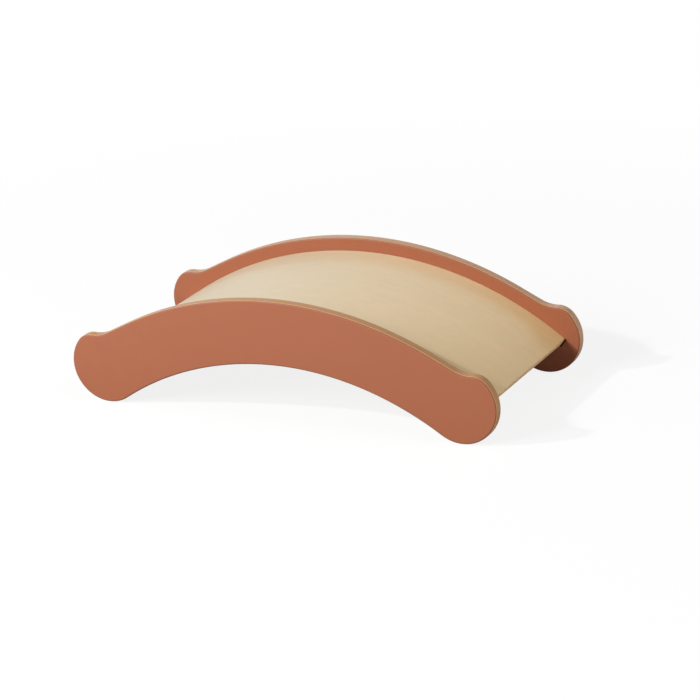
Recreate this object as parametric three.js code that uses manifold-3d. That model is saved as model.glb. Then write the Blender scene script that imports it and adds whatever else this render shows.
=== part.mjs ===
// Kids balance board. Two plywood rails, cut to the outline of a low arch and faced with
// coloured laminate, carry a form-pressed plywood deck between them. The deck's long edges
// sit in a curved groove routed in the inner face of each rail, and are located by dowels.
//
// Millimetres, +X along the board, +Y across it, +Z up. The origin lies on the floor under
// the middle of the arch. The pieces are drawn in side view, with x along the board, y up
// and z across it, and the whole group is then turned so that the board stands on +Z.

import * as THREE from "three";
import { mergeVertices } from "three/addons/utils/BufferGeometryUtils.js";
import Module from "manifold-3d";

const wasm = await Module();
wasm.setup();

// Overall size
const boardLength = 687;
const boardWidth = 311;
const boardHeight = 183;

// Rail: plywood blank with a laminate on each face, and its outline
const railThickness = 15;
const laminateThickness = 0.5;
const edgeRound = 2.5; // rounded edge all round both faces
const crownDepth = 97; // from the top edge to the underside, at the crown
const footRadius = 56.5; // the round that stands on the floor and makes the end
const hornRadius = 28; // the tighter round at the upper corner of the end
const hornAngle = THREE.MathUtils.degToRad(41); // where the horn leaves the foot's round
const hornRise = 16.5; // how far the horn stands out of the line of the top edge
const straightRun = 38; // the flat stretch where the top edge runs down to the saddle
const saddleRadius = 55; // the hollow between that stretch and the horn

// Deck: plies pressed to an arc about the same centre as the rails' top edge
const deckThickness = 15;
const deckPlyCount = 11;
const deckSetDown = 20.6; // from the rails' top edge to the deck's upper face
const deckEndInset = 23.8; // from the rails' end to the upper edge of the deck's end
const deckEdgeRound = 1; // eased arris across each end

// Groove in the inner face of each rail
const grooveDepth = 6;
const grooveOverrun = 3; // how far it runs on past each end of the deck

// Dowels between the rails and the deck's edges
const dowelDiameter = 8;
const dowelLength = 25;
const dowelChamfer = 0.8;
const dowelsPerRail = 6;
const dowelEndDistance = 20; // from the deck's end to the axis of the last dowel
const dowelCover = 3; // wood and laminate left between a dowel hole and the rail's face
const fluteDepth = 0.35;
const fluteCount = 12;

// Clearances and modelling tolerances
const glueLine = 0.1; // between a face and what is glued on it
const grooveClearance = 0.2; // between the deck and each wall of its groove
const dowelClearance = 0.2; // between a dowel and its hole, round it and at its ends
const cutOverrun = 2; // how far a cutting solid runs out of the piece it cuts
const facetSag = 0.09; // most that a facet may leave its arc
const weldDistance = 0.001;
const edgeRoundSteps = 3;
const holeSides = 16;

// Places that follow from the sizes
const halfLength = boardLength / 2;
const outerFace = boardWidth / 2;
const innerFace = outerFace - railThickness;
const grooveFloor = innerFace + grooveDepth;
const undersideHeight = boardHeight - crownDepth;

const polar = (centre, radius, angle) =>
  new THREE.Vector2(Math.cos(angle), Math.sin(angle)).multiplyScalar(radius).add(centre);

const angleFrom = (centre, point) => Math.atan2(point.y - centre.y, point.x - centre.x);

const footCentre = new THREE.Vector2(halfLength - footRadius, footRadius);
const hornCentre = polar(footCentre, footRadius - hornRadius, hornAngle);

// Radius of the arc over the middle of the board with its crown at this height, whose
// circle passes this distance inside a point near the end.
function archRadius(crownHeight, point, distance) {
  const drop = crownHeight - point.y;
  return (point.x ** 2 + drop ** 2 - distance ** 2) / (2 * (distance + drop));
}

const topRadius = archRadius(boardHeight, hornCentre, hornRise - hornRadius);
const topCentre = new THREE.Vector2(0, boardHeight - topRadius);
const undersideRadius = archRadius(undersideHeight, footCentre, footRadius);
const undersideCentre = new THREE.Vector2(0, undersideHeight - undersideRadius);

const deckTopRadius = topRadius - deckSetDown;
const deckUnderRadius = deckTopRadius - deckThickness;
const deckMidRadius = (deckTopRadius + deckUnderRadius) / 2;
const deckHalfAngle = Math.asin((halfLength - deckEndInset) / deckTopRadius);
const deckHalfWidth = grooveFloor - grooveClearance;
const deckPly = deckThickness / deckPlyCount;

// The point at these distances from two others, on the left of the way between them.
function pointAtDistances(first, firstDistance, second, secondDistance) {
  const span = first.distanceTo(second);
  const along = (firstDistance ** 2 - secondDistance ** 2 + span ** 2) / (2 * span);
  const away = Math.sqrt(firstDistance ** 2 - along ** 2);
  const way = second.clone().sub(first).divideScalar(span);
  const left = new THREE.Vector2(-way.y, way.x);
  return first.clone().addScaledVector(way, along).addScaledVector(left, away);
}

// Points along an arc after its first point, as close as the facet tolerance asks.
function arcPoints(centre, radius, from, to) {
  const widest = 2 * Math.acos(1 - facetSag / radius);
  const steps = Math.max(1, Math.ceil(Math.abs(to - from) / widest));
  return Array.from({ length: steps }, (_, i) =>
    polar(centre, radius, from + ((to - from) * (i + 1)) / steps),
  );
}

// The rail's outline: the right half runs from the crown along the flat stretch, over the
// saddle, horn and foot and back to the underside of the crown. Each part is tangent to the
// next, and the left half mirrors it.
function railShape() {
  const apart = topRadius + saddleRadius;
  const fromTop = Math.hypot(apart, straightRun);
  const fromHorn = hornRadius + saddleRadius;
  const saddleCentre = pointAtDistances(topCentre, fromTop, hornCentre, fromHorn);
  const topEnd = angleFrom(topCentre, saddleCentre) + Math.atan2(straightRun, apart);
  const hornStart = angleFrom(hornCentre, saddleCentre);
  const footEnd = angleFrom(footCentre, undersideCentre);
  const up = Math.PI / 2;
  const right = [
    ...arcPoints(topCentre, topRadius, up, topEnd),
    polar(saddleCentre, saddleRadius, topEnd - Math.PI),
    ...arcPoints(saddleCentre, saddleRadius, topEnd - Math.PI, hornStart - Math.PI),
    ...arcPoints(hornCentre, hornRadius, hornStart, hornAngle),
    ...arcPoints(footCentre, footRadius, hornAngle, 0),
    ...arcPoints(footCentre, footRadius, 0, -up),
    ...arcPoints(footCentre, footRadius, -up, footEnd),
    ...arcPoints(undersideCentre, undersideRadius, footEnd + Math.PI, up),
  ];
  const left = right.slice(0, -1).reverse();
  const mirrored = left.map((point) => new THREE.Vector2(-point.x, point.y));
  return new THREE.Shape([new THREE.Vector2(0, boardHeight), ...right, ...mirrored]);
}

// A band between two radii about the arch's centre, out to the same angle on both sides.
// endPoints gives the right end, from the upper face down, as [radius, angle from the crown].
function bandShape(endPoints) {
  const up = Math.PI / 2;
  const [upperRadius, upperAngle] = endPoints[0];
  const [lowerRadius, lowerAngle] = endPoints[endPoints.length - 1];
  const points = [
    polar(topCentre, upperRadius, up + upperAngle),
    ...arcPoints(topCentre, upperRadius, up + upperAngle, up - upperAngle),
    ...endPoints.slice(1).map(([radius, angle]) => polar(topCentre, radius, up - angle)),
    ...arcPoints(topCentre, lowerRadius, up - lowerAngle, up + lowerAngle),
    ...endPoints
      .slice(1, -1)
      .reverse()
      .map(([radius, angle]) => polar(topCentre, radius, up + angle)),
  ];
  return new THREE.Shape(points);
}

function circleShape(centre, radius, sides) {
  const turn = 2 * Math.PI;
  const corners = Array.from({ length: sides }, (_, i) => polar(centre, radius, (turn * i) / sides));
  return new THREE.Shape(corners);
}

// An outline extruded across the board from one distance to another.
function extruded(shape, from, to) {
  const depth = to - from;
  return new THREE.ExtrudeGeometry(shape, { depth, bevelEnabled: false }).translate(0, 0, from);
}

// The same, with its edges rounded to the outline by `round` at both faces.
function extrudedWithRound(shape, from, to, round, steps) {
  const geometry = new THREE.ExtrudeGeometry(shape, {
    depth: to - from - 2 * round,
    bevelEnabled: true,
    bevelThickness: round,
    bevelSize: round,
    bevelOffset: -round,
    bevelSegments: steps,
  });
  return geometry.translate(0, 0, from + round);
}

function solidOf(geometry) {
  const bare = geometry.clone();
  bare.deleteAttribute("normal");
  bare.deleteAttribute("uv");
  const welded = mergeVertices(bare, weldDistance);
  const mesh = new wasm.Mesh({
    numProp: 3,
    vertProperties: welded.attributes.position.array,
    triVerts: new Uint32Array(welded.index.array),
  });
  return new wasm.Manifold(mesh);
}

function geometryOf(solid) {
  const mesh = solid.getMesh();
  const geometry = new THREE.BufferGeometry();
  geometry.setAttribute("position", new THREE.BufferAttribute(mesh.vertProperties, 3));
  geometry.setIndex(new THREE.BufferAttribute(mesh.triVerts, 1));
  geometry.computeVertexNormals();
  return geometry;
}

function namedMesh(name, geometry, material) {
  const mesh = new THREE.Mesh(geometry, material);
  mesh.name = name;
  return mesh;
}

const laminate = new THREE.MeshStandardMaterial({ color: 0xb8745a, roughness: 0.55, metalness: 0 });
const railPly = new THREE.MeshStandardMaterial({ color: 0xc9ad8c, roughness: 0.6, metalness: 0 });
const deckVeneer = new THREE.MeshStandardMaterial({ color: 0xdccdb2, roughness: 0.5, metalness: 0 });
const deckPlies = new THREE.MeshStandardMaterial({ color: 0xc8a882, roughness: 0.6, metalness: 0 });
const beech = new THREE.MeshStandardMaterial({ color: 0xd2ab7e, roughness: 0.7, metalness: 0 });

// Dowel axes, along the middle of the deck's thickness
const dowelSpan = deckHalfAngle - dowelEndDistance / deckMidRadius;
const dowelPlaces = Array.from({ length: dowelsPerRail }, (_, i) => {
  const angle = dowelSpan * ((2 * i) / (dowelsPerRail - 1) - 1);
  return polar(topCentre, deckMidRadius, Math.PI / 2 - angle);
});
const dowelOuterEnd = outerFace - dowelCover - dowelClearance;
const dowelInnerEnd = dowelOuterEnd - dowelLength;
const dowelHoleRadius = dowelDiameter / 2 + dowelClearance;

// The dowel holes of one rail, as one cutting solid from one distance to another.
function dowelHoles(from, to) {
  const holes = dowelPlaces.map((place) =>
    solidOf(extruded(circleShape(place, dowelHoleRadius, holeSides), from, to)),
  );
  return holes.reduce((all, hole) => all.add(hole));
}

// The groove as a cutting solid: the deck's section with its clearance, run on past its ends.
function grooveCutter() {
  const upper = deckTopRadius + grooveClearance;
  const lower = deckUnderRadius - grooveClearance;
  const end = deckHalfAngle + grooveOverrun / deckTopRadius;
  const shape = bandShape([
    [upper, end],
    [lower, end],
  ]);
  return solidOf(extruded(shape, innerFace - cutOverrun, grooveFloor));
}

// The rail before its groove is cut: core and laminates rounded together at the edges.
const railBlank = solidOf(
  extrudedWithRound(railShape(), innerFace, outerFace, edgeRound, edgeRoundSteps),
);

// The stretch of the rail's thickness between two distances from the middle of the board.
function railLayer(from, to) {
  const slab = new THREE.BoxGeometry(
    boardLength + 2 * cutOverrun,
    boardHeight + 2 * cutOverrun,
    to - from,
  );
  slab.translate(0, boardHeight / 2, (from + to) / 2);
  return railBlank.intersect(solidOf(slab));
}

function railCore() {
  const core = railLayer(
    innerFace + laminateThickness + glueLine,
    outerFace - laminateThickness - glueLine,
  );
  const holes = dowelHoles(grooveFloor - cutOverrun, dowelOuterEnd + dowelClearance);
  return geometryOf(core.subtract(grooveCutter().add(holes)));
}

function outerLaminate() {
  return geometryOf(railLayer(outerFace - laminateThickness, outerFace));
}

function innerLaminate() {
  const sheet = railLayer(innerFace, innerFace + laminateThickness);
  return geometryOf(sheet.subtract(grooveCutter()));
}

// A dowel: a fluted rod with both ends chamfered.
function dowel() {
  const turn = 2 * Math.PI;
  const corners = Array.from({ length: 2 * fluteCount }, (_, i) => {
    const radius = dowelDiameter / 2 - (i % 2) * fluteDepth;
    return polar(new THREE.Vector2(), radius, (turn * i) / (2 * fluteCount));
  });
  const rod = new THREE.Shape(corners);
  return extrudedWithRound(rod, dowelInnerEnd, dowelOuterEnd, dowelChamfer, 1);
}

// One rail with its laminates and dowels, on the side of positive z.
function rail(side) {
  const group = new THREE.Group();
  group.add(
    namedMesh(`rail_core_${side}`, railCore(), railPly),
    namedMesh(`rail_outer_laminate_${side}`, outerLaminate(), laminate),
    namedMesh(`rail_inner_laminate_${side}`, innerLaminate(), laminate),
  );
  dowelPlaces.forEach((place, i) => {
    const pin = namedMesh(`dowel_${side}_${i + 1}`, dowel(), beech);
    pin.position.set(place.x, place.y, 0);
    group.add(pin);
  });
  return group;
}

// The deck's inner plies, as one pressed core, with the dowel holes in its long edges.
function deckCore() {
  const upper = deckTopRadius - deckPly - glueLine / 2;
  const lower = deckUnderRadius + deckPly + glueLine / 2;
  const section = bandShape([
    [upper, deckHalfAngle],
    [lower, deckHalfAngle],
  ]);
  const core = solidOf(extruded(section, -deckHalfWidth, deckHalfWidth));
  const edge = deckHalfWidth + cutOverrun;
  const floor = dowelInnerEnd - dowelClearance;
  return geometryOf(core.subtract(dowelHoles(floor, edge).add(dowelHoles(-edge, -floor))));
}

// The eased arris of a face ply's end, as points of a quarter circle from the face down.
function easedEnd(faceRadius, inward) {
  const steps = edgeRoundSteps;
  return Array.from({ length: steps + 1 }, (_, i) => {
    const swing = (Math.PI / 2) * (i / steps);
    const depth = deckEdgeRound * (1 - Math.cos(swing));
    const setBack = deckEdgeRound * (1 - Math.sin(swing));
    return [faceRadius + inward * depth, deckHalfAngle - setBack / faceRadius];
  });
}

function topFacePly() {
  const glued = [deckTopRadius - deckPly + glueLine / 2, deckHalfAngle];
  const section = bandShape([...easedEnd(deckTopRadius, -1), glued]);
  return extruded(section, -deckHalfWidth, deckHalfWidth);
}

function underFacePly() {
  const glued = [deckUnderRadius + deckPly - glueLine / 2, deckHalfAngle];
  const section = bandShape([glued, ...easedEnd(deckUnderRadius, 1).reverse()]);
  return extruded(section, -deckHalfWidth, deckHalfWidth);
}

function deck() {
  const group = new THREE.Group();
  group.add(
    namedMesh("deck_core", deckCore(), deckPlies),
    namedMesh("deck_top_face_ply", topFacePly(), deckVeneer),
    namedMesh("deck_under_face_ply", underFacePly(), deckVeneer),
  );
  return group;
}

// The two rails are the same piece: the far one is the near one turned about.
const board = new THREE.Group();
const nearRail = rail("near");
const farRail = rail("far");
farRail.rotation.y = Math.PI;
board.add(nearRail, deck(), farRail);
board.rotation.x = Math.PI / 2;

export default board;
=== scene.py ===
"""A kids balance board: a form-pressed deck let into two arched, laminate-faced rails.

Metres, +X along the board, +Y across it, +Z up. The board stands as an arch on its four
feet, with the origin on the floor under its middle and the near rail on the side of -Y.
"""

import math

import bmesh
import bpy
from mathutils import Matrix, Vector


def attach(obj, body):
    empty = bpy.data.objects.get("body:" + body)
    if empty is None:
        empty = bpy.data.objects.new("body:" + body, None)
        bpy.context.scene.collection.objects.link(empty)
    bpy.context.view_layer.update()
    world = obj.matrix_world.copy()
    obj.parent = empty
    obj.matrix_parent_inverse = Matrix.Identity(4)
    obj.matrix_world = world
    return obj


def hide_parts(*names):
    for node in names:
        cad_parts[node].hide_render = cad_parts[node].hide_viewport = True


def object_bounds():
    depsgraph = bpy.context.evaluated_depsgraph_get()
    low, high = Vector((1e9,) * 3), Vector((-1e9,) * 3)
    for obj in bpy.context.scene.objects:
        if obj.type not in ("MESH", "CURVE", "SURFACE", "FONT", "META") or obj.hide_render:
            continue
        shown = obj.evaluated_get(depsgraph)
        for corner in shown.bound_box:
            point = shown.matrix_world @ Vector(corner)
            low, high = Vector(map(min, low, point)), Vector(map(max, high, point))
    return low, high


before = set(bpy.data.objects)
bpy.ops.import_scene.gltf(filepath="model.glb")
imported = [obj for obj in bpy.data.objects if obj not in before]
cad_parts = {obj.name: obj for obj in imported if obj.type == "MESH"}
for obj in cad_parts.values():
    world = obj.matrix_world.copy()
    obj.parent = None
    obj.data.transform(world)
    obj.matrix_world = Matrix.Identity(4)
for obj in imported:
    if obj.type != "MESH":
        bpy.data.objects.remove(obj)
cad_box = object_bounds()
mm = 0.001

# The view of the board: a long lens well back from it and above it, a little to the right
# of its middle, and not quite level.
camera_distance = 4353 * mm
camera_azimuth = math.radians(28.34)
camera_elevation = math.radians(19.91)
camera_roll = math.radians(-4.22)
lens_mm = 152.6
sensor_mm = 36
aim_height = 90 * mm
aim_right = 33.4 * mm
aim_up = -35.0 * mm

camera_data = bpy.data.cameras.new("camera")
camera_data.lens = lens_mm
camera_data.sensor_width = sensor_mm
camera = bpy.data.objects.new("camera", camera_data)
bpy.context.scene.collection.objects.link(camera)
camera.matrix_world = (
    Matrix.Translation((0, 0, aim_height))
    @ Matrix.Rotation(camera_azimuth, 4, "Z")
    @ Matrix.Rotation(math.pi / 2 - camera_elevation, 4, "X")
    @ Matrix.Translation((aim_right, aim_up, camera_distance))
    @ Matrix.Rotation(camera_roll, 4, "Z")
)
bpy.context.scene.camera = camera
bpy.context.scene.view_settings.view_transform = "Standard"

# Floor and surroundings: a white sweep under and around the board. Close to the board it throws
# back less light, as painted shade: its grey for bounced light is darker there. The floor takes
# the board's shadow, of which the eye gets a small share that fades out away from the board.
floor_radius = 12
painted_shade_bounce_grey = "B4B4B4"
bounce_farther_out = "F2F2F2"
bounce_fade_start = 400 * mm
bounce_fade_end = 700 * mm
floor_shadow_share = 0.15
shadow_fade_start = 500 * mm
shadow_fade_end = 1500 * mm
ambient_strength = 0.01


def add(tree, kind, inputs=None, **settings):
    """A node with its settings, and with a value or a link for each input that is named."""
    node = tree.nodes.new(kind)
    for name, value in settings.items():
        setattr(node, name, value)
    for socket, value in (inputs or {}).items():
        if isinstance(value, bpy.types.NodeSocket):
            tree.links.new(value, node.inputs[socket])
        else:
            node.inputs[socket].default_value = value
    return node


def linear(hex_code):
    """An sRGB colour written as six hex digits, as the linear colour that a node takes."""
    shares = [int(hex_code[i : i + 2], 16) / 255 for i in (0, 2, 4)]
    return [s / 12.92 if s <= 0.04045 else ((s + 0.055) / 1.055) ** 2.4 for s in shares] + [1]


def new_tree(owner):
    owner.use_nodes = True
    owner.node_tree.nodes.clear()
    return owner.node_tree


def mirrored_or_refracted(tree, path):
    """1 for a ray off a gloss or through glass, and 0 for any other ray."""
    both = {0: path.outputs["Is Glossy Ray"], 1: path.outputs["Is Transmission Ray"]}
    return add(tree, "ShaderNodeMath", both, operation="MAXIMUM").outputs[0]


def floor_material():
    material = bpy.data.materials.new("white_floor")
    tree = new_tree(material)
    path = add(tree, "ShaderNodeLightPath")
    white = add(tree, "ShaderNodeEmission", {"Color": (1, 1, 1, 1), "Strength": 1})
    shaded = add(tree, "ShaderNodeBsdfDiffuse", {"Color": (1, 1, 1, 1)})
    place = add(tree, "ShaderNodeTexCoord").outputs["Object"]
    away = add(tree, "ShaderNodeVectorMath", {0: place}, operation="LENGTH").outputs["Value"]
    # Painted shade: the floor's grey for bounced light is darker close to the board.
    farther = {0: away, 1: bounce_fade_start, 2: bounce_fade_end}
    farther_out = add(tree, "ShaderNodeMapRange", farther).outputs[0]
    greys = {0: farther_out, 6: linear(painted_shade_bounce_grey), 7: linear(bounce_farther_out)}
    grey = add(tree, "ShaderNodeMix", greys, data_type="RGBA").outputs[2]
    bounce = add(tree, "ShaderNodeBsdfDiffuse", {"Color": grey})
    fade = {0: away, 1: shadow_fade_start, 2: shadow_fade_end, 3: floor_shadow_share, 4: 0}
    share = add(tree, "ShaderNodeMapRange", fade).outputs[0]
    view = {0: share, 1: white.outputs[0], 2: shaded.outputs[0]}
    looked_at = add(tree, "ShaderNodeMixShader", view)
    gloss = {0: mirrored_or_refracted(tree, path), 1: bounce.outputs[0], 2: shaded.outputs[0]}
    unseen = add(tree, "ShaderNodeMixShader", gloss)
    rays = {0: path.outputs["Is Camera Ray"], 1: unseen.outputs[0], 2: looked_at.outputs[0]}
    surface = add(tree, "ShaderNodeMixShader", rays)
    add(tree, "ShaderNodeOutputMaterial", {"Surface": surface.outputs[0]})
    material.cycles.emission_sampling = "NONE"
    return material


def white_surroundings():
    world = bpy.data.worlds.new("white_surroundings")
    tree = new_tree(world)
    path = add(tree, "ShaderNodeLightPath")
    either = {0: path.outputs["Is Camera Ray"], 1: mirrored_or_refracted(tree, path)}
    seen = add(tree, "ShaderNodeMath", either, operation="MAXIMUM").outputs[0]
    strength = add(tree, "ShaderNodeMix", {0: seen, 2: ambient_strength, 3: 1.0}).outputs[0]
    sky = add(tree, "ShaderNodeBackground", {"Color": (1, 1, 1, 1), "Strength": strength})
    add(tree, "ShaderNodeOutputWorld", {"Surface": sky.outputs[0]})
    return world


bpy.context.scene.world = white_surroundings()
bm = bmesh.new()
bmesh.ops.create_circle(bm, cap_ends=True, radius=floor_radius, segments=64)
floor_mesh = bpy.data.meshes.new("floor")
bm.to_mesh(floor_mesh)
bm.free()
floor_mesh.materials.append(floor_material())
floor = bpy.data.objects.new("floor", floor_mesh)
bpy.context.scene.collection.objects.link(floor)

# Lamps: a crisp key high on the left of the near side, and large soft ones round it. Each
# is given by its direction, its size and the brightness it alone gives white facing it.
lamp_distance = 5.4
lamps = {
    "key_lamp": ((-0.737, -0.625, 0.688), 0.25, 0.74),
    "front_left_fill": ((-0.5, -1.0, 0.62), 2.2, 0.605),
    "overhead_fill": ((0.0, 0.0, 1.0), 3.0, 0.09),
    "back_right_fill": ((0.6, 0.6, 0.7), 3.0, 0.04),
    "right_fill": ((1.0, 0.0, 0.5), 3.0, 0.27),
    "low_right_fill": ((1.0, -0.3, 0.12), 1.2, 0.13),
}


def soft_lamp(name, direction, size, level):
    data = bpy.data.lights.new(name, "AREA")
    data.shape = "DISK"
    data.size = size
    data.energy = level * (math.pi * lamp_distance) ** 2
    lamp = bpy.data.objects.new(name, data)
    place = Vector(direction).normalized() * lamp_distance
    turned = place.to_track_quat("Z", "Y").to_matrix().to_4x4()
    lamp.matrix_world = Matrix.Translation(place) @ turned
    bpy.context.scene.collection.objects.link(lamp)


for name, (direction, size, level) in lamps.items():
    soft_lamp(name, direction, size, level)

# Rail cores: birch plywood blanks cut to the outline of the arch, with the deck's groove
# routed in the inner face and blind dowel holes in its floor. Their edges are sanded round
# together with the laminates and lacquered, so every ply shows there.
board_length = cad_box[1][0] - cad_box[0][0]
board_width = cad_box[1][1] - cad_box[0][1]
board_height = cad_box[1][2] - cad_box[0][2]
rail_thickness = 15 * mm
laminate_thickness = 0.5 * mm
edge_round = 2.5 * mm
crown_depth = 97 * mm
foot_radius = 56.5 * mm
horn_radius = 28 * mm
horn_angle = math.radians(41)
horn_rise = 16.5 * mm
straight_run = 38 * mm
saddle_radius = 55 * mm
outline_step = 2 * mm
edge_round_steps = 6
sharp_corner = math.radians(60)
weld_distance = 0.001 * mm

deck_thickness = 15 * mm
deck_set_down = 20.6 * mm
deck_end_inset = 23.8 * mm
groove_depth = 6 * mm
groove_overrun = 3 * mm
groove_clearance = 0.2 * mm
glue_line = 0.1 * mm
cut_overrun = 2 * mm

dowel_diameter = 8 * mm
dowel_length = 25 * mm
dowels_per_rail = 6
dowel_end_distance = 20 * mm
dowel_cover = 3 * mm
dowel_clearance = 0.2 * mm

outer_face = board_width / 2
inner_face = outer_face - rail_thickness
groove_floor = inner_face + groove_depth
dowel_outer_end = outer_face - dowel_cover - dowel_clearance
dowel_inner_end = dowel_outer_end - dowel_length
dowel_hole_end = dowel_outer_end + dowel_clearance


def side_point(centre, radius, bearing):
    """A point of a circle in the side view. Bearings are clockwise from straight up."""
    return centre + radius * Vector((math.sin(bearing), 0, math.cos(bearing)))


def bearing(centre, point):
    return math.atan2(point.x - centre.x, point.z - centre.z)


def arch_centre(crown, point, distance):
    """Centre of the arc with its crown at this height that passes so far inside a point."""
    drop = crown - point.z
    radius = (point.x**2 + drop**2 - distance**2) / (2 * (distance + drop))
    return Vector((0, 0, crown - radius))


foot_centre = Vector((board_length / 2 - foot_radius, 0, foot_radius))
horn_centre = side_point(foot_centre, foot_radius - horn_radius, math.pi / 2 - horn_angle)
top_centre = arch_centre(board_height, horn_centre, horn_rise - horn_radius)
top_radius = board_height - top_centre.z
underside_centre = arch_centre(board_height - crown_depth, foot_centre, foot_radius)

deck_top_radius = top_radius - deck_set_down
deck_under_radius = deck_top_radius - deck_thickness
deck_mid_radius = (deck_top_radius + deck_under_radius) / 2
deck_half_angle = math.asin((board_length / 2 - deck_end_inset) / deck_top_radius)
deck_half_width = groove_floor - groove_clearance
groove_half_angle = deck_half_angle + groove_overrun / deck_top_radius


def point_at_distances(first, first_distance, second, second_distance):
    """The point of the side view so far from two others, above the way between them."""
    span = (second - first).length
    along = (first_distance**2 - second_distance**2 + span**2) / (2 * span)
    way = (second - first) / span
    above = Vector((-way.z, 0, way.x))
    return first + along * way + math.sqrt(first_distance**2 - along**2) * above


def spin_on(bm, tip, centre, angle, step):
    """Draws an arc from the last point of an outline, clockwise for a positive angle."""
    length = (tip.co - Vector((centre.x, tip.co.y, centre.z))).length * abs(angle)
    swept = bmesh.ops.spin(
        bm,
        geom=[tip],
        cent=centre,
        axis=(0, 1, 0),
        angle=angle,
        steps=max(2, math.ceil(length / step)),
    )
    return next(part for part in swept["geom_last"] if isinstance(part, bmesh.types.BMVert))


def rail_outline(bm):
    """The closed outline in the side view: half of it from arc to arc, then mirrored."""
    apart = top_radius + saddle_radius
    from_top = math.hypot(apart, straight_run)
    from_horn = horn_radius + saddle_radius
    saddle_centre = point_at_distances(top_centre, from_top, horn_centre, from_horn)
    leave_top = bearing(top_centre, saddle_centre) - math.atan2(straight_run, apart)
    reach_horn = bearing(horn_centre, saddle_centre)
    reach_foot = math.pi / 2 - horn_angle
    leave_foot = 2 * math.pi + bearing(foot_centre, underside_centre)
    leave_underside = bearing(underside_centre, foot_centre)

    tip = bm.verts.new((0, 0, board_height))
    tip = spin_on(bm, tip, top_centre, leave_top, outline_step)
    tip = bmesh.ops.extrude_vert_indiv(bm, verts=[tip])["verts"][0]
    downhill = Vector((math.cos(leave_top), 0, -math.sin(leave_top)))
    bmesh.ops.translate(bm, verts=[tip], vec=straight_run * downhill)
    for centre, angle in (
        (saddle_centre, reach_horn - leave_top),
        (horn_centre, reach_foot - reach_horn),
        (foot_centre, leave_foot - reach_foot),
        (underside_centre, -leave_underside),
    ):
        tip = spin_on(bm, tip, centre, angle, outline_step)
    tip.co.x = 0
    bmesh.ops.mirror(bm, geom=bm.verts[:] + bm.edges[:], axis="X", merge_dist=weld_distance)


def extrude_across(bm, geom, start, end):
    """Extrudes flat faces of the side view across the board, from one distance to another."""
    bmesh.ops.translate(bm, verts=bm.verts[:], vec=(0, start, 0))
    grown = bmesh.ops.extrude_face_region(bm, geom=geom)["geom"]
    moved = [part for part in grown if isinstance(part, bmesh.types.BMVert)]
    bmesh.ops.translate(bm, verts=moved, vec=(0, end - start, 0))
    bmesh.ops.recalc_face_normals(bm, faces=bm.faces[:])


def rail_blank():
    """Core and laminates as one, with both rims rounded."""
    bm = bmesh.new()
    rail_outline(bm)
    bmesh.ops.contextual_create(bm, geom=bm.edges[:])
    extrude_across(bm, bm.faces[:], inner_face, outer_face)
    rims = [edge for edge in bm.edges if edge.calc_face_angle(0) > sharp_corner]
    bmesh.ops.bevel(
        bm,
        geom=rims,
        offset=edge_round,
        affect="EDGES",
        segments=edge_round_steps,
        profile=0.5,
        material=-1,
    )
    return bm


def rail_layer(start, end):
    """The stretch of the blank between two distances from the middle of the board."""
    bm = rail_blank()
    for place, side in ((start, -1), (end, 1)):
        if inner_face < place < outer_face:
            whole = bm.verts[:] + bm.edges[:] + bm.faces[:]
            cut = bmesh.ops.bisect_plane(
                bm,
                geom=whole,
                plane_co=(0, place, 0),
                plane_no=(0, side, 0),
                clear_outer=True,
            )
            rim = [part for part in cut["geom_cut"] if isinstance(part, bmesh.types.BMEdge)]
            bmesh.ops.contextual_create(bm, geom=rim)
    bmesh.ops.recalc_face_normals(bm, faces=bm.faces[:])
    return bm


def arc_band(outer_radius, inner_radius, half_angle, half_width, step):
    """A curved board about the arch's centre: its end section, spun from left to right."""
    bm = bmesh.new()
    corners = [
        side_point(top_centre, radius, -half_angle) + Vector((0, y, 0))
        for radius, y in (
            (inner_radius, -half_width),
            (outer_radius, -half_width),
            (outer_radius, half_width),
            (inner_radius, half_width),
        )
    ]
    section = bm.faces.new([bm.verts.new(corner) for corner in corners])
    bmesh.ops.spin(
        bm,
        geom=[section] + section.edges[:] + section.verts[:],
        cent=top_centre,
        axis=(0, 1, 0),
        angle=2 * half_angle,
        steps=math.ceil(2 * half_angle * outer_radius / step),
    )
    bmesh.ops.recalc_face_normals(bm, faces=bm.faces[:])
    return bm


def to_piece(bm, name):
    """The finished mesh as an object at the origin."""
    mesh = bpy.data.meshes.new(name)
    bm.to_mesh(mesh)
    bm.free()
    piece = bpy.data.objects.new(name, mesh)
    bpy.context.scene.collection.objects.link(piece)
    return piece


def cut_away(piece, cutter):
    """Cuts the second piece's shape out of the first, and drops the second."""
    saw = piece.modifiers.new("saw", "BOOLEAN")
    saw.operation = "DIFFERENCE"
    saw.solver = "EXACT"
    saw.object = cutter
    settled = piece.evaluated_get(bpy.context.evaluated_depsgraph_get())
    whole = piece.data
    piece.data = bpy.data.meshes.new_from_object(settled)
    piece.data.name = piece.name
    piece.modifiers.remove(saw)
    bpy.data.meshes.remove(whole)
    bpy.data.meshes.remove(cutter.data)


def groove_cutter():
    """The deck's section with its clearance, run on past its ends, as a cutting solid."""
    upper = deck_top_radius + groove_clearance
    lower = deck_under_radius - groove_clearance
    bm = arc_band(upper, lower, groove_half_angle, groove_floor, outline_step)
    return to_piece(bm, "groove_cutter")


dowel_span = deck_half_angle - dowel_end_distance / deck_mid_radius
dowel_bearings = [
    dowel_span * (2 * i / (dowels_per_rail - 1) - 1) for i in range(dowels_per_rail)
]


def dowel_hole_cutter(start, end):
    """One rod for each dowel, between two distances from the middle of the board."""
    bm = bmesh.new()
    for place in dowel_bearings:
        hole_centre = side_point(top_centre, deck_mid_radius, place)
        turned = Matrix.Rotation(math.pi / 2, 4, "X")
        middle = Matrix.Translation(hole_centre + Vector((0, (start + end) / 2, 0)))
        radius = dowel_diameter / 2 + dowel_clearance
        bmesh.ops.create_cone(
            bm,
            cap_ends=True,
            segments=32,
            radius1=radius,
            radius2=radius,
            depth=end - start,
            matrix=middle @ turned,
        )
    return to_piece(bm, "dowel_hole_cutter")


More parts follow.
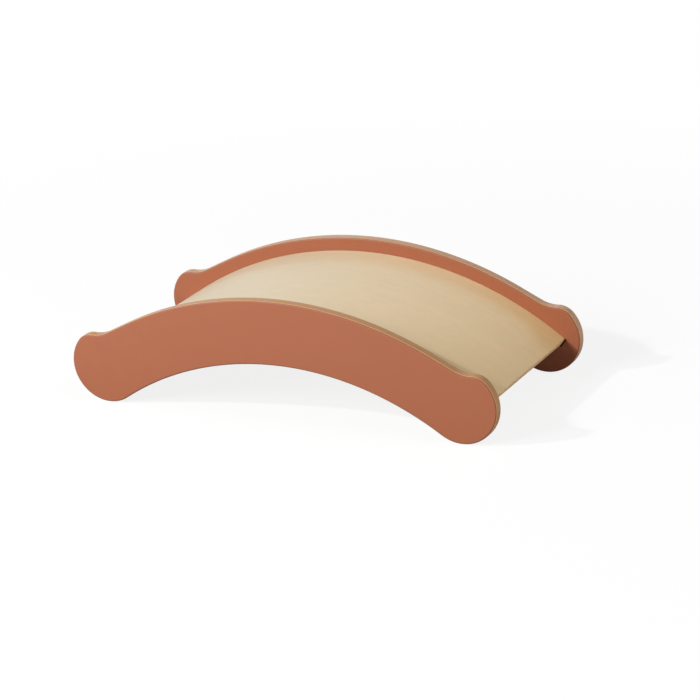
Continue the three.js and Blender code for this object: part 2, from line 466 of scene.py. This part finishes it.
smooth_up_to = math.radians(40)
flat_within = math.radians(2.5)


def smooth_rounds(piece):
    """Shades arcs and rounds smooth, and flat side faces flat up to their own edges."""
    piece.data.set_sharp_from_angle(angle=smooth_up_to)
    for face in piece.data.polygons:
        face.use_smooth = abs(face.normal.y) < math.cos(flat_within)


def finish_rail_piece(piece, side, node):
    """Turns a piece of the far rail about for the near one, and fits it in the frame."""
    if side == "near":
        piece.data.transform(Matrix.Rotation(math.pi, 4, "Z"))
    smooth_rounds(piece)
    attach(piece, "root")
    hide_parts(node)


def fibres(tree, place, sizes, detail=2.0):
    """Noise drawn out to these sizes along x, y and z, as the fibres of wood lie."""
    stretch = {"Vector": place, "Scale": [1 / size for size in sizes]}
    drawn_out = add(tree, "ShaderNodeMapping", stretch).outputs[0]
    noise = {"Vector": drawn_out, "Scale": 1.0, "Detail": detail}
    return add(tree, "ShaderNodeTexNoise", noise).outputs[0]


def toned(tree, colour, pattern, swing):
    """A colour made darker and lighter, by up to this share, where a pattern says so."""
    brightness = {0: pattern, 3: 1 - swing, 4: 1 + swing}
    value = add(tree, "ShaderNodeMapRange", brightness).outputs[0]
    tone = {"Color": colour, "Value": value}
    return add(tree, "ShaderNodeHueSaturation", tone).outputs[0]


def distance_from_middle(tree, place):
    """How far a point lies from the board's middle plane, the same on both sides."""
    across = add(tree, "ShaderNodeSeparateXYZ", {0: place}).outputs["Y"]
    return add(tree, "ShaderNodeMath", {0: across}, operation="ABSOLUTE").outputs[0]


def distance_from_rail_middle(tree, place):
    """How far a point lies from the middle of the thickness of its own rail."""
    out = distance_from_middle(tree, place)
    halfway = {0: out, 1: (inner_face + outer_face) / 2}
    off_middle = add(tree, "ShaderNodeMath", halfway, operation="SUBTRACT").outputs[0]
    return add(tree, "ShaderNodeMath", {0: off_middle}, operation="ABSOLUTE").outputs[0]


def along_the_arc(tree, place):
    """A place as its length along the deck's arc, its distance across and its radius."""
    spread = add(tree, "ShaderNodeSeparateXYZ", {0: place})
    height = {0: spread.outputs["Z"], 1: top_centre.z}
    above = add(tree, "ShaderNodeMath", height, operation="SUBTRACT").outputs[0]
    sides = {0: spread.outputs["X"], 1: above}
    swing = add(tree, "ShaderNodeMath", sides, operation="ARCTAN2").outputs[0]
    length = {0: swing, 1: deck_top_radius}
    arc = add(tree, "ShaderNodeMath", length, operation="MULTIPLY").outputs[0]
    upright = add(tree, "ShaderNodeCombineXYZ", {0: spread.outputs["X"], 1: above})
    radius = add(tree, "ShaderNodeVectorMath", {0: upright.outputs[0]}, operation="LENGTH")
    parts = {0: arc, 1: spread.outputs["Y"], 2: radius.outputs["Value"]}
    return add(tree, "ShaderNodeCombineXYZ", parts).outputs[0], radius.outputs["Value"]


# Birch plywood edge, sanded and lacquered: plies of long fibres between plies of browner end
# grain, which trade places towards the board's ends, and thin dark glue lines. The near rail's
# plies are toned more olive than the far rail's. The groove walls are painted dark: painted
# shade.
rail_ply_count = 11
rail_ply = (rail_thickness - 2 * laminate_thickness) / rail_ply_count
glue_thread = 0.12 * mm
laminate_glue_depth = 0.3 * mm
laminate_glue_blend = 0.05 * mm
layer_blend = 0.02 * mm
groove_wall_margin = 0.1 * mm
long_grain_birch = ("C79154", "D1A57E")
end_grain_birch = ("9E6D39", "AD7F59")
face_birch = ("CC946A", "C4926C")
rail_glue_colour = "794923"
# Near-black painted shade for the walls of the routed groove.
groove_painted_shade = "2E1A10"

# Fibres are drawn a few times as wide as real ones, so that they show.
fibre_width = 0.5 * mm
fibre_length = 25 * mm
broad_streak = (90 * mm, 4 * mm, 90 * mm)
grain_relief = 0.04 * mm


def ply_stack(tree, depth, ply):
    """The number of the ply at this depth as 0 or 1 in turn, and 1 on each glue line."""
    stack = add(tree, "ShaderNodeMath", {0: depth, 1: ply}, operation="DIVIDE").outputs[0]
    number = add(tree, "ShaderNodeMath", {0: stack}, operation="FLOOR").outputs[0]
    turn = add(tree, "ShaderNodeMath", {0: number, 1: 2}, operation="FLOORED_MODULO")
    share = add(tree, "ShaderNodeMath", {0: stack}, operation="FRACT").outputs[0]
    middle = {0: share, 1: 0.5}
    off_middle = add(tree, "ShaderNodeMath", middle, operation="SUBTRACT").outputs[0]
    away = add(tree, "ShaderNodeMath", {0: off_middle}, operation="ABSOLUTE").outputs[0]
    edge = {0: away, 1: 0.5 - glue_thread / ply, 2: 0.5}
    thread = add(tree, "ShaderNodeMapRange", edge, interpolation_type="SMOOTHSTEP")
    return turn.outputs[0], thread.outputs[0]


def groove_walls(tree, place):
    """1 on the walls of the routed groove, and 0 on the rest of the rail."""
    flat, radius = along_the_arc(tree, place)
    along = add(tree, "ShaderNodeSeparateXYZ", {0: flat}).outputs["X"]
    half_height = deck_thickness / 2 + groove_clearance + groove_wall_margin
    half_length = deck_top_radius * groove_half_angle + groove_wall_margin
    band = {0: radius, 1: deck_mid_radius, 2: half_height}
    within_band = add(tree, "ShaderNodeMath", band, operation="COMPARE").outputs[0]
    stretch = {0: along, 1: 0, 2: half_length}
    within_stretch = add(tree, "ShaderNodeMath", stretch, operation="COMPARE").outputs[0]
    both = {0: within_band, 1: within_stretch}
    return add(tree, "ShaderNodeMath", both, operation="MULTIPLY").outputs[0]


def birch_plywood_edge():
    material = bpy.data.materials.new("birch_plywood_edge")
    tree = new_tree(material)
    texture = add(tree, "ShaderNodeTexCoord")
    place = texture.outputs["Object"]
    out = distance_from_middle(tree, place)
    start = {0: out, 1: inner_face + laminate_thickness}
    depth = add(tree, "ShaderNodeMath", start, operation="SUBTRACT").outputs[0]
    turn, thread = ply_stack(tree, depth, rail_ply)

    facing = add(tree, "ShaderNodeSeparateXYZ", {0: texture.outputs["Normal"]})
    endwise = {
        axis: add(tree, "ShaderNodeMath", {0: facing.outputs[axis]}, operation="ABSOLUTE")
        for axis in ("X", "Z")
    }
    sawn = {0: turn, 2: endwise["X"].outputs[0], 3: endwise["Z"].outputs[0]}
    end_grain = add(tree, "ShaderNodeMix", sawn).outputs[0]
    across = add(tree, "ShaderNodeSeparateXYZ", {0: place}).outputs["Y"]
    sides = {0: across, 1: -inner_face, 2: inner_face}
    far_side = add(tree, "ShaderNodeMapRange", sides).outputs[0]
    long_tone, end_tone, face_tone = [
        add(
            tree,
            "ShaderNodeMix",
            {0: far_side, 6: linear(near), 7: linear(far)},
            data_type="RGBA",
        ).outputs[2]
        for near, far in (long_grain_birch, end_grain_birch, face_birch)
    ]
    tones = {0: end_grain, 6: long_tone, 7: end_tone}
    wood = add(tree, "ShaderNodeMix", tones, data_type="RGBA").outputs[2]
    from_rail_middle = distance_from_rail_middle(tree, place)
    inner_plies = rail_thickness / 2 - laminate_thickness - rail_ply
    last_ply = {0: from_rail_middle, 1: inner_plies - layer_blend, 2: inner_plies + layer_blend}
    face_ply = add(tree, "ShaderNodeMapRange", last_ply).outputs[0]
    plies = {0: face_ply, 6: wood, 7: face_tone}
    wood = add(tree, "ShaderNodeMix", plies, data_type="RGBA").outputs[2]

    lengthwise = fibres(tree, place, (fibre_length, fibre_width, fibre_width))
    upright = fibres(tree, place, (fibre_width, fibre_width, fibre_length))
    grain = add(tree, "ShaderNodeMix", {0: turn, 2: lengthwise, 3: upright}).outputs[0]
    wood = toned(tree, wood, grain, 0.16)
    wood = toned(tree, wood, fibres(tree, place, broad_streak), 0.1)
    rim = rail_thickness / 2 - laminate_thickness - laminate_glue_depth
    rim_glue = {0: from_rail_middle, 1: rim, 2: rim + laminate_glue_blend}
    under_laminate = add(tree, "ShaderNodeMapRange", rim_glue).outputs[0]
    any_glue = {0: thread, 1: under_laminate}
    glue = add(tree, "ShaderNodeMath", any_glue, operation="MAXIMUM").outputs[0]
    glued = {0: glue, 6: wood, 7: linear(rail_glue_colour)}
    wood = add(tree, "ShaderNodeMix", glued, data_type="RGBA").outputs[2]
    # Painted shade: the walls of the routed groove, which runs on past the deck's end, are
    # painted near-black.
    groove_shade = {0: groove_walls(tree, place), 6: wood, 7: linear(groove_painted_shade)}
    wood = add(tree, "ShaderNodeMix", groove_shade, data_type="RGBA").outputs[2]

    relief = {"Strength": 0.5, "Distance": grain_relief, "Height": grain}
    lacquer = {
        "Base Color": wood,
        "Roughness": add(tree, "ShaderNodeMapRange", {0: grain, 3: 0.28, 4: 0.4}).outputs[0],
        "IOR": 1.5,
        "Specular IOR Level": 0.35,
        "Normal": add(tree, "ShaderNodeBump", relief).outputs[0],
    }
    surface = add(tree, "ShaderNodeBsdfPrincipled", lacquer)
    add(tree, "ShaderNodeOutputMaterial", {"Surface": surface.outputs[0]})
    return material


plywood = birch_plywood_edge()
core_start = inner_face + laminate_thickness + glue_line
core_end = outer_face - laminate_thickness - glue_line

for side in ("near", "far"):
    rail_core = to_piece(rail_layer(core_start, core_end), f"rail_{side}_plywood")
    cut_away(rail_core, groove_cutter())
    cut_away(rail_core, dowel_hole_cutter(groove_floor - cut_overrun, dowel_hole_end))
    rail_core.data.materials.append(plywood)
    finish_rail_piece(rail_core, side, f"rail_core_{side}")

# Rail laminates: thin sheets of terracotta high-pressure laminate, glued on both faces of
# each plywood blank. The groove is routed through the inner one.
laminate_colour = "995636"
laminate_core_colour = "4F2F1C"
decor_depth = 0.22 * mm
cloud_size = 25 * mm
pearl_size = 0.6 * mm
pearl_relief = 0.01 * mm


# Terracotta laminate: paper soaked in melamine and pressed against a matt sheet. The face
# is one even colour with a soft sheen, finely pearled (real pearls are half as wide as the
# ones drawn), and its brown paper core shows as a thin line where the edge is sanded round.
def terracotta_laminate():
    material = bpy.data.materials.new("terracotta_laminate")
    tree = new_tree(material)
    place = add(tree, "ShaderNodeTexCoord").outputs["Object"]
    decor_start = rail_thickness / 2 - decor_depth
    skin = {
        0: distance_from_rail_middle(tree, place),
        1: decor_start - layer_blend,
        2: decor_start + layer_blend,
    }
    decor = add(tree, "ShaderNodeMapRange", skin).outputs[0]
    layers = {0: decor, 6: linear(laminate_core_colour), 7: linear(laminate_colour)}
    paper = add(tree, "ShaderNodeMix", layers, data_type="RGBA").outputs[2]

    cloud = fibres(tree, place, (cloud_size, cloud_size, cloud_size))
    pearl = fibres(tree, place, (pearl_size, pearl_size, pearl_size), 1.0)
    paper = toned(tree, paper, cloud, 0.025)
    paper = toned(tree, paper, pearl, 0.03)

    relief = {"Strength": 0.4, "Distance": pearl_relief, "Height": pearl}
    melamine = {
        "Base Color": paper,
        "Roughness": add(tree, "ShaderNodeMapRange", {0: pearl, 3: 0.44, 4: 0.56}).outputs[0],
        "IOR": 1.5,
        "Specular IOR Level": 0.5,
        "Normal": add(tree, "ShaderNodeBump", relief).outputs[0],
    }
    surface = add(tree, "ShaderNodeBsdfPrincipled", melamine)
    add(tree, "ShaderNodeOutputMaterial", {"Surface": surface.outputs[0]})
    return material


laminate = terracotta_laminate()
for side in ("near", "far"):
    sheet = rail_layer(outer_face - laminate_thickness, outer_face)
    outer = to_piece(sheet, f"rail_{side}_outer_laminate")
    outer.data.materials.append(laminate)
    finish_rail_piece(outer, side, f"rail_outer_laminate_{side}")

    sheet = rail_layer(inner_face, inner_face + laminate_thickness)
    inner = to_piece(sheet, f"rail_{side}_inner_laminate")
    cut_away(inner, groove_cutter())
    inner.data.materials.append(laminate)
    finish_rail_piece(inner, side, f"rail_inner_laminate_{side}")

# Deck core: the inner plies of the deck, glued and pressed over a form into one curved
# board, with blind dowel holes along both long edges.
deck_ply_count = 11
deck_ply = deck_thickness / deck_ply_count
long_grain_deck = "F4CD9B"
end_grain_deck = "EDBB86"
deck_glue_colour = "8A6544"


# Pressed birch plies: sawn square at the deck's ends and sanded, so the plies with their
# grain along the board show darker end grain there, between plies of long grain.
def pressed_plies():
    material = bpy.data.materials.new("pressed_plies")
    tree = new_tree(material)
    place = add(tree, "ShaderNodeTexCoord").outputs["Object"]
    flat, radius = along_the_arc(tree, place)
    underside = {0: radius, 1: deck_under_radius}
    depth = add(tree, "ShaderNodeMath", underside, operation="SUBTRACT").outputs[0]
    turn, thread = ply_stack(tree, depth, deck_ply)
    tones = {0: turn, 6: linear(end_grain_deck), 7: linear(long_grain_deck)}
    wood = add(tree, "ShaderNodeMix", tones, data_type="RGBA").outputs[2]

    lengthwise = fibres(tree, flat, (fibre_length, fibre_width, fibre_width))
    crosswise = fibres(tree, flat, (fibre_width, fibre_length, fibre_width))
    grain = add(tree, "ShaderNodeMix", {0: turn, 2: lengthwise, 3: crosswise}).outputs[0]
    wood = toned(tree, wood, grain, 0.16)
    glued = {0: thread, 6: wood, 7: linear(deck_glue_colour)}
    wood = add(tree, "ShaderNodeMix", glued, data_type="RGBA").outputs[2]

    relief = {"Strength": 0.5, "Distance": grain_relief, "Height": grain}
    sawn_wood = {
        "Base Color": wood,
        "Roughness": add(tree, "ShaderNodeMapRange", {0: grain, 3: 0.42, 4: 0.58}).outputs[0],
        "IOR": 1.5,
        "Normal": add(tree, "ShaderNodeBump", relief).outputs[0],
    }
    surface = add(tree, "ShaderNodeBsdfPrincipled", sawn_wood)
    add(tree, "ShaderNodeOutputMaterial", {"Surface": surface.outputs[0]})
    return material


core_top = deck_top_radius - deck_ply - glue_line / 2
core_under = deck_under_radius + deck_ply + glue_line / 2
pressed = arc_band(core_top, core_under, deck_half_angle, deck_half_width, outline_step)
deck_core = to_piece(pressed, "deck_plies")
hole_floor = dowel_inner_end - dowel_clearance
cut_away(deck_core, dowel_hole_cutter(hole_floor, deck_half_width + cut_overrun))
cut_away(deck_core, dowel_hole_cutter(-deck_half_width - cut_overrun, -hole_floor))
deck_core.data.materials.append(pressed_plies())
smooth_rounds(deck_core)
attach(deck_core, "root")
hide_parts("deck_core")

# Deck face plies: a pale, fine-grained birch veneer on top and underneath, its grain along
# the board, sanded and clear lacquered. The arris across each end is eased.
deck_edge_round = 1 * mm
arris_segments = 4
on_the_face = 0.01 * mm
pale_birch = "C5AC77"
painted_warm_light_birch = "D8B26E"
pore_colour = "A7804B"
warm_light_start = -100 * mm
warm_light_full_from = 300 * mm
veneer_depth = 50 * mm
band_size = (420 * mm, 22 * mm, veneer_depth)
figure_size = (22 * mm, 14 * mm, veneer_depth)
streak_size = (160 * mm, 2.4 * mm, veneer_depth)
veneer_fibre_size = (22 * mm, 0.7 * mm, veneer_depth)
pore_size = (6 * mm, 0.5 * mm, veneer_depth)
veneer_relief = 0.02 * mm


# Lacquered birch veneer: almost plain, with faint bands and clouds, fine fibres along the arc
# and tiny darker pores. Painted warm light makes it more golden towards the +X end, for the
# warmer light on that slope. The lacquer gives it a satin gloss. Fibres and pores are drawn
# twice as wide as real ones, so that they show.
def birch_veneer():
    material = bpy.data.materials.new("lacquered_birch_veneer")
    tree = new_tree(material)
    place = add(tree, "ShaderNodeTexCoord").outputs["Object"]
    flat = along_the_arc(tree, place)[0]
    streak = fibres(tree, flat, streak_size, 3.0)
    fibre = fibres(tree, flat, veneer_fibre_size)
    pores = fibres(tree, flat, pore_size, 1.0)

    # Painted warm light: from here the veneer turns more golden towards the +X end of the deck.
    along = add(tree, "ShaderNodeSeparateXYZ", {0: flat}).outputs["X"]
    warm_light_span = {0: along, 1: warm_light_start, 2: warm_light_full_from}
    painted_warm_light = add(tree, "ShaderNodeMapRange", warm_light_span).outputs[0]
    tones = {0: painted_warm_light, 6: linear(pale_birch), 7: linear(painted_warm_light_birch)}
    wood = add(tree, "ShaderNodeMix", tones, data_type="RGBA").outputs[2]
    wood = toned(tree, wood, fibres(tree, flat, band_size), 0.04)
    wood = toned(tree, wood, fibres(tree, flat, figure_size), 0.06)
    wood = toned(tree, wood, streak, 0.05)
    wood = toned(tree, wood, fibre, 0.05)
    opened = add(tree, "ShaderNodeMapRange", {0: pores, 1: 0.66, 2: 0.78, 3: 0, 4: 0.35})
    dark = {0: opened.outputs[0], 6: wood, 7: linear(pore_colour)}
    wood = add(tree, "ShaderNodeMix", dark, data_type="RGBA").outputs[2]

    relief = {"Strength": 0.3, "Distance": veneer_relief, "Height": fibre}
    lacquer = {
        "Base Color": wood,
        "Roughness": add(tree, "ShaderNodeMapRange", {0: streak, 3: 0.27, 4: 0.37}).outputs[0],
        "IOR": 1.5,
        "Specular IOR Level": 0.9,
        "Sheen Weight": 0.45,
        "Normal": add(tree, "ShaderNodeBump", relief).outputs[0],
    }
    surface = add(tree, "ShaderNodeBsdfPrincipled", lacquer)
    add(tree, "ShaderNodeOutputMaterial", {"Surface": surface.outputs[0]})
    return material


veneer = birch_veneer()
for name, node, face_radius, inward in (
    ("deck_top_veneer", "deck_top_face_ply", deck_top_radius, -1),
    ("deck_under_veneer", "deck_under_face_ply", deck_under_radius, 1),
):
    glued_radius = face_radius + inward * (deck_ply - glue_line / 2)
    upper = max(face_radius, glued_radius)
    lower = min(face_radius, glued_radius)
    bm = arc_band(upper, lower, deck_half_angle, deck_half_width, outline_step)
    ends = [
        edge
        for edge in bm.edges
        if edge.calc_length() > deck_half_width
        and edge.calc_face_angle(0) > sharp_corner
        and all(
            abs((end.co - top_centre).xz.length - face_radius) < on_the_face
            for end in edge.verts
        )
    ]
    bmesh.ops.bevel(
        bm,
        geom=ends,
        offset=deck_edge_round,
        affect="EDGES",
        segments=arris_segments,
        profile=0.5,
        material=-1,
    )
    ply = to_piece(bm, name)
    smooth_rounds(ply)
    ply.data.materials.append(veneer)
    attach(ply, "root")
    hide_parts(node)

# Dowels: fluted beech pins, bought in as stock and left raw. Each is glued half in the rail
# and half in the deck's edge, so none shows on the finished board.
pale_beech = "D9B58C"
dark_beech = "C79A6E"
fleck_colour = "9A6B45"
beech_fibre_size = (0.5 * mm, 15 * mm, 0.5 * mm)
beech_fleck_size = (0.4 * mm, 2 * mm, 0.4 * mm)
beech_relief = 0.05 * mm


# Raw beech: pinkish tan and matt, with fine long fibres and short darker flecks along the
# pin. Both are drawn a few times as wide as real ones, so that they show.
def raw_beech():
    material = bpy.data.materials.new("raw_beech")
    tree = new_tree(material)
    place = add(tree, "ShaderNodeTexCoord").outputs["Object"]
    grain = fibres(tree, place, beech_fibre_size)
    flecks = fibres(tree, place, beech_fleck_size, 1.0)
    tones = {0: grain, 6: linear(dark_beech), 7: linear(pale_beech)}
    wood = add(tree, "ShaderNodeMix", tones, data_type="RGBA").outputs[2]
    fleck = add(tree, "ShaderNodeMapRange", {0: flecks, 1: 0.6, 2: 0.7, 3: 0, 4: 0.6})
    dark = {0: fleck.outputs[0], 6: wood, 7: linear(fleck_colour)}
    wood = add(tree, "ShaderNodeMix", dark, data_type="RGBA").outputs[2]

    relief = {"Strength": 0.5, "Distance": beech_relief, "Height": grain}
    raw_wood = {
        "Base Color": wood,
        "Roughness": add(tree, "ShaderNodeMapRange", {0: grain, 3: 0.62, 4: 0.78}).outputs[0],
        "Normal": add(tree, "ShaderNodeBump", relief).outputs[0],
    }
    surface = add(tree, "ShaderNodeBsdfPrincipled", raw_wood)
    add(tree, "ShaderNodeOutputMaterial", {"Surface": surface.outputs[0]})
    return material


beech = raw_beech()
for side in ("near", "far"):
    for number in range(1, dowels_per_rail + 1):
        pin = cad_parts[f"dowel_{side}_{number}"]
        pin.data.materials.clear()
        pin.data.materials.append(beech)
